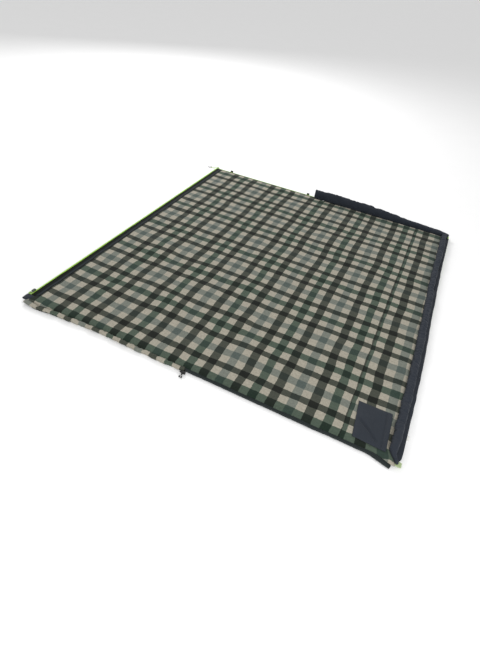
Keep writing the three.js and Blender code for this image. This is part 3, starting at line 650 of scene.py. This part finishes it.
def head_roll():
    """The lining's facing, rolled over the cover's head edge, which bows out from the padding."""
    run = np.linspace(roll_x0 - 6 * MM, roll_x1 + 6 * MM, ROLL_RINGS)
    column = run[:, None]
    turns = np.linspace(0, FULL_TURN, ROLL_POINTS)[None, :]
    bow = np.interp(column, *ROLL_BOW.T)
    outer = -HALF_LENGTH - bow - 1.5 * MM * noise(column, 0, 40 * MM, 1, 61)
    width = HEAD - outer - MM
    folds = (1 + 0.07 * noise(column, turns, 30 * MM, 0.9, 63)
             + 0.06 * noise(column, turns, 14 * MM, 0.6, 64)) * (
                 1 - 0.1 * noise(column, 0, 70 * MM, 1, 65))
    reach = 0.5 + 0.5 * rounded_ends(run, 12 * MM)
    fat, share, height = ROLL_SECTION.T[:, None, :]
    y = outer + (fat * MM * (0.92 + 0.08 * folds) + share * width)
    z = ROLL_HEART + (height * MM - ROLL_HEART) * folds * reach
    return loft("head_roll", run, y, z, "x", PLAID, (96 * MM, -1030 * MM))


roll = head_roll()
puff(roll, np.repeat(ROLL_SECTION[None, :, 1] > 0.1, ROLL_RINGS, 0), 0.05, 3 * MM)
settle(roll, "cover_half", ["head_facing"])

band_x0, band_x1 = here("head_channel")[0]
BAND_RINGS, BAND_POINTS = 230, 42
BAND_HEART = 9 * MM
BAND_INNER = BASE_HEAD - 0.3 * MM
BAND_WIDTH = BAND_INNER + HALF_LENGTH
BAND_BOW = np.array([[915, 0], [945, 4], [975, 13], [1005, 22], [1034, 27]]) * MM
# Share of the band's width from its outer edge, and height: two rolls with a sewn line between.
BAND_SECTION = spline([[0, 7.0], [0.04, 10.5], [0.14, 13.2], [0.24, 12.6], [0.29, 9.6],
                       [0.35, 12.8], [0.6, 14.2], [0.92, 13.4], [1.0, 9.5], [0.96, 4.0],
                       [0.75, 1.2], [0.45, 0.6], [0.2, 1.4], [0.05, 3.6]], BAND_POINTS)


def head_binding():
    """The drawcord channel along the base's head edge, which droops to a point at its end."""
    run = np.linspace(band_x0, band_x1, BAND_RINGS)
    column = run[:, None]
    turns = np.linspace(0, FULL_TURN, BAND_POINTS)[None, :]
    folds = noise(column, turns, 22 * MM, 0.7, 71) + 0.7 * noise(column, turns, 10 * MM, 0.5, 72)
    reach = (0.55 + 0.45 * rounded_ends(run, 6 * MM)) * (1 + 0.05 * folds)
    across = 0.5 + (BAND_SECTION[None, :, 0] - 0.5) * reach
    width = BAND_WIDTH + np.interp(column, *BAND_BOW.T)
    y = BAND_INNER - width * (1 - across) + 1.2 * MM * noise(column, 0, 110 * MM, 1, 73) * smooth(
        column, 20 * MM, 90 * MM)
    beside_eyelet = 1 - smooth(np.abs(column - exit_point[0]), 11 * MM, 20 * MM)
    y = np.where(beside_eyelet > 0, np.maximum(y, -HALF_LENGTH + 1.6 * MM * beside_eyelet), y)
    z = BAND_HEART + (BAND_SECTION[None, :, 1] * MM - BAND_HEART) * reach
    z = z * (1 - 0.3 * smooth(column, 960 * MM, band_x1))
    return loft("head_binding", run, y, z, "x", BINDING)


channel = head_binding()
settle(channel, "base_half", ["head_channel"])

# ------------------------------------------------------------------ zips
COIL_PITCH = 3.2 * MM
COIL_CORD = 5 * MM  # width of the lime cord that the side coils are sewn on with
for half, side, body in (("base", 1, "base_half"), ("cover", -1, "cover_half")):
    for edge in ("side", "foot"):
        name = f"zip_tape_{edge}_{half}"
        (x0, x1), (y0, y1), (z0, z1) = here(name)
        if edge == "side":
            lines, cross = np.linspace(y0, y1, 240), np.linspace(x0, x1, 7)
            tape_y, tape_x = np.meshgrid(lines, cross, indexing="ij")
            wave = 0.5 * MM * noise(tape_y, 0, 60 * MM, 1, 81)
            cloth = tape_y, tape_x
        else:
            lines, cross = np.linspace(x0, x1, 130), np.linspace(y0, y1, 7)
            tape_x, tape_y = np.meshgrid(lines, cross, indexing="ij")
            wave = 0.5 * MM * noise(tape_x, 0, 60 * MM, 1, 82)
            cloth = tape_x, tape_y
        tape = slab(name + "_woven", tape_x, tape_y, z1 + wave, z0 + wave, *cloth, TAPE)
        settle(tape, body, [name])

        name = f"zip_coil_{edge}_{half}"
        (x0, x1), (y0, y1), (z0, z1) = here(name)
        low, high = (y0, y1) if edge == "side" else (x0, x1)
        if edge == "side":  # the cord lies on the coil's inner side
            x0, x1 = (x0, x1 + COIL_CORD) if side < 0 else (x0 - COIL_CORD, x1)
        turns = int((high - low) / COIL_PITCH)
        run = np.linspace(low, high, 3 * turns + 1)
        swell = np.where(np.arange(len(run)) % 3 == 0, 0.78, 1.0)[:, None]
        ring = np.linspace(0, 2 * math.pi, 8, endpoint=False)[None, :] + math.pi / 8
        c0, c1 = ((x0 + x1) / 2, (x1 - x0) / 2) if edge == "side" else (
            (y0 + y1) / 2, (y1 - y0) / 2)
        coil = loft(name + "_turns", run, c0 + c1 * np.cos(ring) * swell,
                    (z0 + z1) / 2 + (z1 - z0) / 2 * np.sin(ring) * swell,
                    "y" if edge == "side" else "x", LIME)
        settle(coil, body, [name])

# Navy facing between the side zip and the lining, sewn down on the lining's slope.
(face_x0, face_x1), (face_y0, face_y1), _ = here("zip_facing_side")
strip_y, strip_x = np.meshgrid(np.linspace(face_y0, face_y1, 300),
                               np.linspace(face_x0, face_x1, 9), indexing="ij")
lie = lining_top(strip_x, strip_y)
hem = 0.5 * MM * smooth(strip_x, face_x1 - 6 * MM, face_x1)
facing = slab("zip_facing", strip_x, strip_y, lie + 1.3 * MM + hem, lie - 0.4 * MM,
              strip_x, strip_y, FACING)
settle(facing, "cover_half", ["zip_facing_side"])

# Shell flap over the base half's side zip.
SIDE_BOW = np.array([[-1165, 14], [-1075, 17], [-920, 18], [-750, 20], [-560, 19], [-360, 17],
                     [-240, 14], [-120, 10], [0, 7], [145, 5], [290, 1], [450, 0], [620, -3]]) * MM
(flap_x0, _), (flap_y0, flap_y1), (flap_z0, _) = here("zip_flap_side")
FLAP_X1 = 1054 * MM
strip_y, strip_t = np.meshgrid(np.linspace(flap_y0, flap_y1, 300), np.linspace(0, 1, 8),
                               indexing="ij")
edge_x = (FLAP_X1 + np.interp(strip_y, *SIDE_BOW.T)
          + 1.2 * MM * noise(strip_y, 0, 50 * MM, 1, 91)
          - 9 * MM * (1 - smooth(strip_y, flap_y0, flap_y0 + 24 * MM)))
strip_x = flap_x0 + (edge_x - flap_x0) * strip_t
arch = (1.8 * np.sin(np.clip(strip_t * 2, 0, 1) * math.pi / 2)
        + 0.7 * noise(strip_y, strip_x, 40 * MM, 20 * MM, 92)) * MM
flap = slab("zip_flap", strip_x, strip_y, flap_z0 + 1.2 * MM + arch + 0.4 * MM,
            flap_z0 + arch, strip_x, strip_y, SHELL)
settle(flap, "base_half", ["zip_flap_side"])

# Fabric garage over the top of the side zip, folded to a point at the corner.
(gar_x0, gar_x1), (gar_y0, gar_y1), (gar_z0, gar_z1) = here("zip_garage")
run = np.linspace(gar_y0 - 5 * MM, gar_y1, 16)
t = np.linspace(0, 1, 16)[:, None]
wide = 0.35 + 0.65 * np.sqrt(t)
gar_x = gar_x0 - 3 * MM + (1 - wide) * 3 * MM + (gar_x1 + 17 * MM - gar_x0) * wide * (
    1 + np.cos(TURN)) / 2
gar_z = (gar_z0 + gar_z1) / 2 + (gar_z1 - gar_z0) / 2 * np.sin(TURN) * (
    0.45 + 0.55 * t ** 0.6) * (1 + 0.1 * noise(run[:, None], TURN, 9 * MM, 0.8, 95))
garage = loft("zip_garage_fabric", run, gar_x, gar_z, "y", SHELL)
settle(garage, "cover_half", ["zip_garage"])

# ------------------------------------------------------------------ draft tubes
_, (tube_y0, tube_y1), (tube_z0, tube_z1) = here("draft_tube_side")
TUBE_X, TUBE_HALF, TUBE_RINGS = 1012 * MM, 20 * MM, 460


def side_tube():
    run = np.linspace(tube_y0 - 9 * MM, tube_y1 + 5 * MM, TUBE_RINGS)
    column = run[:, None]
    folds = (1 + 0.05 * noise(column, TURN, 120 * MM, 1.6, 101)
             + 0.06 * noise(column, TURN, 34 * MM, 0.9, 102)
             + 0.03 * noise(column, TURN, 13 * MM, 0.7, 103))
    near_end = 1 - smooth(column, run[0], run[0] + 80 * MM)  # drawn to a point at the head corner
    reach = (0.35 + 0.65 * rounded_ends(run, 20 * MM)) * folds * (1 - 0.5 * near_end)
    sway = (2.0 * MM * noise(column, 0, 260 * MM, 1, 104) + 27 * MM * near_end ** 2
            + np.interp(column, *SIDE_BOW.T))
    half_z = (tube_z1 - tube_z0) / 2
    x = TUBE_X + sway + TUBE_HALF * np.cos(TURN) * reach
    z = ((tube_z0 + tube_z1) / 2 - 4 * MM - 9 * MM * near_end
         + (half_z + 2 * MM) * np.sin(TURN) * reach)
    return loft("side_draft_tube", run, x, z, "y", TUBE)


tube = side_tube()
puff(tube, np.repeat((TURN > 3.2) & (TURN < 4.3), TUBE_RINGS, 0), 0.06, 5 * MM)
settle(tube, "base_half", ["draft_tube_side", "draft_tube_side_fill"])

FOOT_POINTS = 40
FOOT_SECTION = spline(np.array([
    [1144, 20], [1150, 16], [1158, 20], [1163, 40], [1164, 70], [1160, 88], [1151, 94],
    [1142, 90], [1137, 74], [1137, 50], [1140, 34]]) * MM, FOOT_POINTS)
FOOT_HEART = np.array([1150.5, 56]) * MM
FOOT_LOW = 16 * MM
# The foot tube sags towards the outer corner: X, and the share of its full height.
FOOT_RISE = np.array([[0, 0.97], [0.4, 1], [0.545, 0.82], [0.713, 0.66], [0.869, 0.63],
                      [0.98, 0.55], [1.04, 0.42]])
FOOT_TUBE_BACK, FOOT_TUBE_END = -84 * MM, 1044 * MM  # where its two ends close


def foot_tube(name, x0, x1, steps):
    run = np.linspace(x0, x1, steps)
    column = run[:, None]
    turns = np.linspace(0, FULL_TURN, FOOT_POINTS)[None, :]
    lean = FOOT_SECTION - FOOT_HEART
    folds = (1 + 0.06 * noise(column, turns, 90 * MM, 1.2, 111)
             + 0.1 * noise(column, turns, 34 * MM, 0.8, 112)
             + 0.06 * noise(column, turns, 13 * MM, 0.6, 113))
    sway = 2.0 * MM * noise(column, 0, 200 * MM, 1, 114) - 12 * MM * smooth(
        column, 400 * MM, 1000 * MM)
    tall = (1 + 0.035 * noise(column, 0, 150 * MM, 1, 115)) * np.interp(column, *FOOT_RISE.T)
    to_end = np.minimum(column - FOOT_TUBE_BACK, FOOT_TUBE_END - column)
    outer = np.maximum(crowned(to_end, 9 * MM), 0.25)
    y = FOOT_HEART[0] + sway + lean[None, :, 0] * folds * outer
    z = FOOT_LOW + (FOOT_HEART[1] + lean[None, :, 1] * folds * (0.86 + 0.14 * outer)
                    - FOOT_LOW) * tall
    return loft(name, run, y, z, "x", TUBE)


(_, foot_x1), _, (foot_z0, _) = here("draft_tube_foot")
tube = foot_tube("foot_draft_tube", 0.0, foot_x1 + 6 * MM, 260)
settle(tube, "base_half", ["draft_tube_foot", "draft_tube_foot_fill"])
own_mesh(tube)
end = foot_tube("foot_draft_tube_end", FOOT_TUBE_BACK, 0.0, 22)
settle(end, "cover_half", ["draft_tube_foot_end"])
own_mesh(end)

# ------------------------------------------------------------------ pocket, loops, label
(pocket_x0, pocket_x1), (pocket_y0, pocket_y1), _ = here("pocket")
POCKET_WIDTH, POCKET_LENGTH = 170 * MM, 230 * MM
s, t = np.meshgrid(np.linspace(0, 1, 48), np.linspace(0, 1, 64))
slant = np.array([[16, 0], [8, -8], [-4, -2], [-3, -2]]) * MM  # its corners aren't quite square
corners = slant + np.array([[pocket_x0, pocket_y0], [pocket_x1, pocket_y0],
                            [pocket_x0, pocket_y1], [pocket_x1, pocket_y1]])
weights = [(1 - s) * (1 - t), s * (1 - t), (1 - s) * t, s * t]
patch_x = sum(w * c[0] for w, c in zip(weights, corners))
patch_y = sum(w * c[1] for w, c in zip(weights, corners))
ends = np.minimum(t, 1 - t) * POCKET_LENGTH
edge = np.minimum(np.minimum(s, 1 - s) * POCKET_WIDTH, ends)
sewn = np.minimum(s * POCKET_WIDTH, ends)
rise = 9 * MM * crowned(sewn, 80 * MM)
# A crease runs from the left side's middle to the lower right.
crease = (t - 0.5) * 0.844 + (s - 0.1) * 0.537
along = smooth(s, 0.02, 0.2) * (1 - smooth(s, 0.6, 0.8))
rise = rise - 7 * MM * np.exp(-(crease / 0.034) ** 2) * along
rise = rise + 2.0 * MM * smooth(crease, 0.0, 0.05) * (1 - smooth(crease, 0.12, 0.4)) * along
crease = (t - 0.3) * 0.5 + (s - 0.62) * 0.86  # a second, shorter one that crosses above it
rise = rise - (2.6 * MM * np.exp(-(crease / 0.04) ** 2)
               * smooth(t, 0.3, 0.5) * (1 - smooth(t, 0.7, 0.95)))
rise = rise + 1.3 * MM * noise(s, t, 0.22, 0.3, 121) + 0.8 * MM * noise(s, t, 0.08, 0.12, 122)
rise = rise - 4.5 * MM * np.exp(-((s - 0.86) / 0.03) ** 2)  # the sewn line of the pocket's hem
hem = 1.2 * MM * (1 - smooth(np.abs(s - 0.93), 0.045, 0.06)) + 0.6 * MM * (
    1 - smooth(edge, 3 * MM, 6 * MM))
level_z = lining_top(patch_x, patch_y)
calm = LOFT + 0.4 * (level_z - LOFT)
patch_low = np.maximum(level_z, calm) + 0.4 * MM
pocket = slab("inner_pocket", patch_x, patch_y, patch_low + 1.1 * MM + np.maximum(rise, 0) + hem,
              patch_low, patch_x, patch_y, SHELL)
settle(pocket, "base_half", ["pocket"])

LOOP_POINTS = 44
LOOP_OUTLINE = spline(np.array([
    [1149, 12.2], [1157, 12.2], [1165, 9.6], [1177, 8.8], [1187, 9.6], [1191.5, 16.5],
    [1197, 21.0], [1203, 18.8], [1205.4, 13.5], [1203, 8.0], [1196, 4.9], [1184, 5.6],
    [1170, 7.6]]) * MM, LOOP_POINTS)
LOOP_HEART = np.array([1175, 6.5]) * MM
for side, seed in (("left", 131), ("right", 132)):
    name = f"hanging_loop_{side}"
    run = np.linspace(*here(name)[0], 9)
    bulge = 1 + 0.02 * noise(run[:, None], np.arange(LOOP_POINTS)[None, :], 8 * MM, 6, seed)
    loop_y, loop_z = (LOOP_HEART[i] + (LOOP_OUTLINE[None, :, i] - LOOP_HEART[i]) * bulge
                      for i in range(2))
    loop = loft(name + "_webbing", run, loop_y, loop_z, "x", WEBBING)
    settle(loop, "cover_half", [name])

(x0, x1), (y0, y1), (z0, z1) = here("care_label")
tag_x, tag_y = np.meshgrid(np.linspace(x0, x1 + 5 * MM, 16), np.linspace(y0, y1, 10))
curl = 5 * MM * smooth(tag_x, x0 + 20 * MM, x1) ** 2
tag = slab("blank_label", tag_x, tag_y, z1 + curl - 0.4 * MM, z0 + curl, tag_x, tag_y, LABEL)
settle(tag, "base_half", ["care_label"])

# ------------------------------------------------------------------ materials of the CAD nodes
SHARP_EDGE = math.radians(35)


def softened_shading():
    """Nodes that shade smooth, apart from edges sharper than SHARP_EDGE."""
    tree = bpy.data.node_groups.new("shade_by_angle", "GeometryNodeTree")
    tree.interface.new_socket("Geometry", in_out="INPUT", socket_type="NodeSocketGeometry")
    tree.interface.new_socket("Geometry", in_out="OUTPUT", socket_type="NodeSocketGeometry")
    start, finish = tree.nodes.new("NodeGroupInput"), tree.nodes.new("NodeGroupOutput")
    angle = tree.nodes.new("GeometryNodeInputMeshEdgeAngle")
    sharp = tree.nodes.new("FunctionNodeCompare")
    sharp.operation = "GREATER_THAN"
    sharp.inputs[1].default_value = SHARP_EDGE
    faces, edges = (tree.nodes.new("GeometryNodeSetShadeSmooth") for _ in range(2))
    edges.domain = "EDGE"
    edges.inputs["Shade Smooth"].default_value = False
    tree.links.new(start.outputs[0], faces.inputs[0])
    tree.links.new(faces.outputs[0], edges.inputs[0])
    tree.links.new(angle.outputs[0], sharp.inputs[0])
    tree.links.new(sharp.outputs[0], edges.inputs["Selection"])
    tree.links.new(edges.outputs[0], finish.inputs[0])
    return tree


SHADING = softened_shading()
FINISH = {
    "side_slider_body": SHADED_LIME_PAINT, "foot_slider_body": SHADED_LIME_PAINT, "side_pull_link": STEEL,
    "side_pull_tab": GREEN, "foot_pull_strap": LIME_STRAP, "foot_pull_ring": WIRE,
    "cord_lock_barrel": BLACK, "cord_lock_button": BLACK, "cord_lock_spring": STEEL,
    "cord_end_upper": BLACK, "cord_end_lower": BLACK, "drawcord_eyelet": BLACK,
    "drawcord": CORD, "zip_retainer_box": SHADED_LIME_PAINT, "zip_retainer_pin": SHADED_LIME_PAINT,
    "zip_top_stop": STEEL, "zip_end_tab": PALE_LIME, "zip_end_stop": BLACK,
}
# Bevel widths in mm.
BEVEL = {"side_slider_body": 0.5, "foot_slider_body": 0.5, "side_pull_link": 0.3,
         "side_pull_tab": 0.7, "zip_retainer_box": 0.7, "zip_retainer_pin": 0.5,
         "zip_top_stop": 0.5, "zip_end_tab": 1.0, "zip_end_stop": 1.2, "foot_pull_strap": 0.25,
         "cord_lock_barrel": 0.3, "cord_lock_button": 0.3, "cord_end_upper": 0.5,
         "cord_end_lower": 0.5, "drawcord_eyelet": 0.2}
for node, material in FINISH.items():
    shown = bpy.data.objects[node]
    shown.data.materials.clear()
    shown.data.materials.append(material)
    if node in BEVEL:
        bevel = shown.modifiers.new("bevel", "BEVEL")
        bevel.width = BEVEL[node] * MM
        bevel.segments = 2
        bevel.limit_method = "ANGLE"
        bevel.angle_limit = SHARP_EDGE
    shown.modifiers.new("shading", "NODES").node_group = SHADING

# ------------------------------------------------------------------ fabric across the fold
for cloth in (lining, shell):
    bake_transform(cloth)

# ------------------------------------------------------------------ floor and light
floor_material = Material("floor")
spot = floor_material.noise(floor_material.add("TexCoord", out=3), 3, 2)
floor_tone = floor_material.mix(spot, (0.90, 0.90, 0.90, 1), (0.92, 0.92, 0.92, 1))
floor_material.finish(Base_Color=floor_tone, Roughness=0.9)
FLOOR = 60.0
floor_mesh = bpy.data.meshes.new("floor")
floor_mesh.from_pydata([(-FLOOR, -FLOOR, 0), (FLOOR, -FLOOR, 0), (FLOOR, FLOOR, 0),
                        (-FLOOR, FLOOR, 0)], [], [(0, 1, 2, 3)])
floor_mesh.materials.append(floor_material.material)
floor = bpy.data.objects.new("floor", floor_mesh)
floor.location.z = -0.5 * MM
bpy.context.scene.collection.objects.link(floor)

world = bpy.data.worlds.new("studio")
world.use_nodes = True
world.node_tree.nodes["Background"].inputs[0].default_value = (1, 1, 1, 1)
world.node_tree.nodes["Background"].inputs[1].default_value = 0.72
bpy.context.scene.world = world


def area_light(name, place, power, size):
    data = bpy.data.lights.new(name, "AREA")
    data.energy, data.size = power, size
    light = bpy.data.objects.new(name, data)
    light.location = place
    light.rotation_euler = (Vector((0, 0, 0)) - Vector(place)).to_track_quat("-Z", "Y").to_euler()
    bpy.context.scene.collection.objects.link(light)


area_light("key", (-3.4, 3.9, 3.4), 165, 1.8)
area_light("fill", (2.6, -4.6, 3.4), 190, 4.0)
bpy.context.scene.view_settings.view_transform = "Standard"
